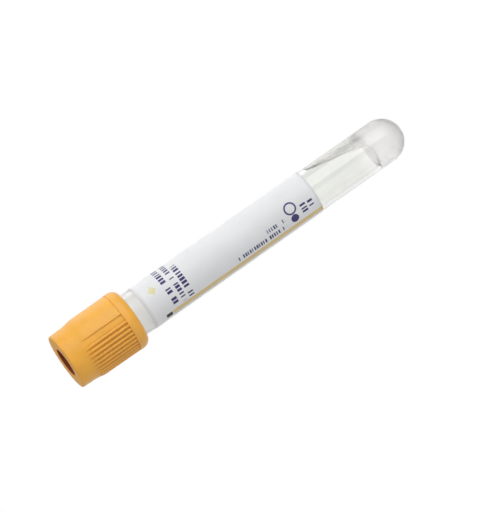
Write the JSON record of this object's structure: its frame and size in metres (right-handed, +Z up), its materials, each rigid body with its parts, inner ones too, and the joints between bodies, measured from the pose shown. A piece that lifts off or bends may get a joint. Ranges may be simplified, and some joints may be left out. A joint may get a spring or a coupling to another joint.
{
  "type": "blood collection tube",
  "caption": "Clear round-bottomed sample tube with a wrap label, separator gel and a pull-off safety closure with a pierceable rubber stopper.",
  "frame": {"origin": "middle of the closure's end face, which the part stands on", "axes": "+Z up along the tube's axis, from the closure to the round closed end; -Y is the front, the side of the label that carries the print, and the gel's tongue is on the left, towards -X"},
  "size_m": [0.0172, 0.0173, 0.1093],
  "materials": {
    "clear_plastic": "clear, glossy",
    "label_film": "satin film",
    "gel": "milky, wet",
    "dark_rubber": "matte",
    "gold_plastic": "satin moulded"
  },
  "bodies": {
    "closure": {"rubber_stopper": "dark_rubber", "closure_shield": "gold_plastic"},
    "tube_body": {"tube": "clear_plastic", "wrap_label": "label_film", "separator_gel": "gel"}
  },
  "joints": [
    {"name": "closure_pull", "type": "slide", "parent": "closure", "child": "tube_body", "axis": [0, 0, 1], "range_m": [0, 0.03]}
  ]
}
